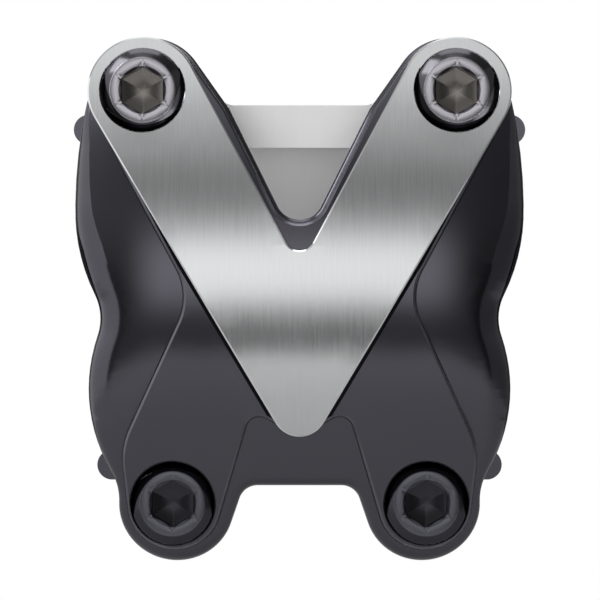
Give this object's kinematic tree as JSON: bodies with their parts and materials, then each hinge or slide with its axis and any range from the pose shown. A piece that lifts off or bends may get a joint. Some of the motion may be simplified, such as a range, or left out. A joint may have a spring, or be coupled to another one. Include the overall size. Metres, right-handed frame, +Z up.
{
  "type": "handlebar stem",
  "caption": "Short bicycle handlebar stem: black split steerer clamp and neck, with a crossed black faceplate under a bare brushed vee plate, held by socket-head bolts.",
  "frame": {"origin": "on the steerer axis, halfway up the steerer clamp", "axes": "+X along the handlebar to the rider's right, +Y backwards towards the rider, +Z up along the steerer"},
  "size_m": [0.048, 0.0962, 0.0543],
  "materials": {
    "black_anodised": "satin black anodised, machined",
    "brushed_aluminium": "bare, brushed lengthwise",
    "polished_steel": "polished",
    "black_steel": "black oxide"
  },
  "bodies": {
    "stem": {"stem_body": "black_anodised"},
    "front": {"faceplate": "black_anodised", "cross_plate": "black_anodised", "vee_plate": "brushed_aluminium"},
    "upper_left_washer": {"upper_left_washer": "polished_steel"},
    "upper_left_bolt": {"upper_left_bolt": "polished_steel"},
    "upper_right_washer": {"upper_right_washer": "polished_steel"},
    "upper_right_bolt": {"upper_right_bolt": "polished_steel"},
    "lower_left_washer": {"lower_left_washer": "black_steel"},
    "lower_left_bolt": {"lower_left_bolt": "black_steel"},
    "lower_right_washer": {"lower_right_washer": "black_steel"},
    "lower_right_bolt": {"lower_right_bolt": "black_steel"},
    "upper_pinch_washer": {"upper_pinch_washer": "black_steel"},
    "upper_pinch_bolt": {"upper_pinch_bolt": "black_steel"},
    "lower_pinch_washer": {"lower_pinch_washer": "black_steel"},
    "lower_pinch_bolt": {"lower_pinch_bolt": "black_steel"}
  },
  "joints": [
    {"name": "faceplate_off", "type": "slide", "parent": "stem", "child": "front", "axis": [0, -1, 0], "range_m": [0, 0.025]},
    {"name": "upper_left_back_off", "type": "slide", "parent": "front", "child": "upper_left_washer", "axis": [0, -1, 0], "range_m": [0, 0.0088]},
    {"name": "upper_left_turn", "type": "hinge", "parent": "upper_left_washer", "child": "upper_left_bolt", "pos_m": [-0.0161, -0.06, 0.0212], "axis": [0, -1, 0], "range_deg": [0, 3965]},
    {"name": "upper_right_back_off", "type": "slide", "parent": "front", "child": "upper_right_washer", "axis": [0, -1, 0], "range_m": [0, 0.0088]},
    {"name": "upper_right_turn", "type": "hinge", "parent": "upper_right_washer", "child": "upper_right_bolt", "pos_m": [0.0161, -0.06, 0.0212], "axis": [0, -1, 0], "range_deg": [0, 3965]},
    {"name": "lower_left_back_off", "type": "slide", "parent": "front", "child": "lower_left_washer", "axis": [0, -1, 0], "range_m": [0, 0.0088]},
    {"name": "lower_left_turn", "type": "hinge", "parent": "lower_left_washer", "child": "lower_left_bolt", "pos_m": [-0.01305, -0.06, -0.0212], "axis": [0, -1, 0], "range_deg": [0, 3965]},
    {"name": "lower_right_back_off", "type": "slide", "parent": "front", "child": "lower_right_washer", "axis": [0, -1, 0], "range_m": [0, 0.0088]},
    {"name": "lower_right_turn", "type": "hinge", "parent": "lower_right_washer", "child": "lower_right_bolt", "pos_m": [0.01305, -0.06, -0.0212], "axis": [0, -1, 0], "range_deg": [0, 3965]},
    {"name": "upper_pinch_back_off", "type": "slide", "parent": "stem", "child": "upper_pinch_washer", "axis": [-1, 0, 0], "range_m": [0, 0.0088]},
    {"name": "upper_pinch_turn", "type": "hinge", "parent": "upper_pinch_washer", "child": "upper_pinch_bolt", "pos_m": [-0.012, 0.0193, 0.011], "axis": [-1, 0, 0], "range_deg": [0, 3965]},
    {"name": "lower_pinch_back_off", "type": "slide", "parent": "stem", "child": "lower_pinch_washer", "axis": [1, 0, 0], "range_m": [0, 0.0088]},
    {"name": "lower_pinch_turn", "type": "hinge", "parent": "lower_pinch_washer", "child": "lower_pinch_bolt", "pos_m": [0.012, 0.0193, -0.011], "axis": [1, 0, 0], "range_deg": [0, 3965]}
  ],
  "couplings": [
    {"joint": "upper_left_turn", "follows": "upper_left_back_off", "rad_per_m": 7854},
    {"joint": "upper_right_turn", "follows": "upper_right_back_off", "rad_per_m": 7854},
    {"joint": "lower_left_turn", "follows": "lower_left_back_off", "rad_per_m": 7854},
    {"joint": "lower_right_turn", "follows": "lower_right_back_off", "rad_per_m": 7854},
    {"joint": "upper_pinch_turn", "follows": "upper_pinch_back_off", "rad_per_m": 7854},
    {"joint": "lower_pinch_turn", "follows": "lower_pinch_back_off", "rad_per_m": 7854}
  ]
}
